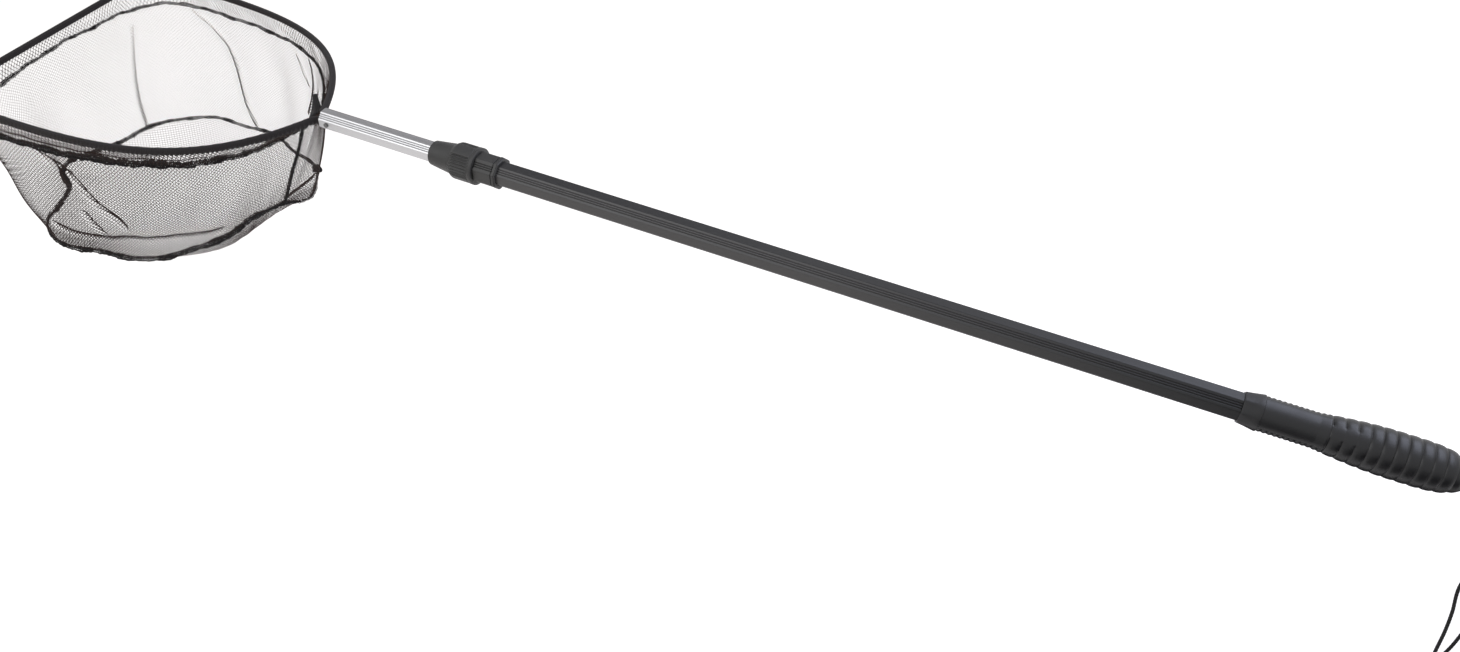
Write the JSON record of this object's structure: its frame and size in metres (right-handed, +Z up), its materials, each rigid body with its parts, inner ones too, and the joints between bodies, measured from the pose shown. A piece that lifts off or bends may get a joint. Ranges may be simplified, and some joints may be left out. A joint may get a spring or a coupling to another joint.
{
  "type": "fish scoop net",
  "caption": "Telescopic scoop net: wire hoop with a straight front edge and black netting bag, on a fluted sliding pole with twist lock, ribbed grip and wrist cord.",
  "frame": {"origin": "hand hold, on the pole's axis inside the grip's swell", "axes": "+X along the pole towards the grip's butt, with the net at -X; +Z up out of the net's mouth, square to the hoop; Y across the hoop"},
  "size_m": [1.5068, 0.2974, 0.2445],
  "materials": {
    "grip_plastic": "moulded, satin",
    "black_tube": "black coat on drawn aluminium, satin",
    "silver_tube": "drawn, satin",
    "lock_plastic": "moulded, matt",
    "collet_plastic": "natural",
    "plug_plastic": "moulded, matt",
    "rivet": "plain",
    "hoop_wire": "drawn wire",
    "rim_fabric": "knitted tape",
    "netting": "knotless mesh",
    "cord": "braided"
  },
  "bodies": {
    "handle": {"grip": "grip_plastic", "outer_tube": "black_tube", "tube_end_plug": "plug_plastic", "lock_sleeve": "lock_plastic", "wrist_cord": "cord", "cord_knot": "cord"},
    "lock_collet": {"lock_collet": "collet_plastic"},
    "lock_nut": {"lock_nut": "lock_plastic"},
    "net_pole": {"inner_tube": "silver_tube", "guide_bush": "collet_plastic", "yoke_plug": "plug_plastic", "yoke_rivet": "rivet", "hoop_frame": "hoop_wire", "rim_sleeve": "rim_fabric", "header_band": "netting", "header_tape": "rim_fabric", "bag_wall": "netting", "bag_bottom": "netting", "bottom_seam": "rim_fabric", "wall_seam": "rim_fabric"}
  },
  "joints": [
    {"name": "pole_slide", "type": "slide", "parent": "handle", "child": "net_pole", "axis": [-1, 0, 0], "range_m": [-0.085, 0.62]},
    {"name": "collet_travel", "type": "slide", "parent": "handle", "child": "lock_collet", "axis": [-1, 0, 0], "range_m": [0, 0.00126]},
    {"name": "nut_twist", "type": "hinge", "parent": "lock_collet", "child": "lock_nut", "pos_m": [-0.8714, 0, 0], "axis": [-1, 0, 0], "range_deg": [0, 150]}
  ],
  "couplings": [
    {"joint": "collet_travel", "follows": "nut_twist", "m_per_rad": 0.00047746}
  ]
}
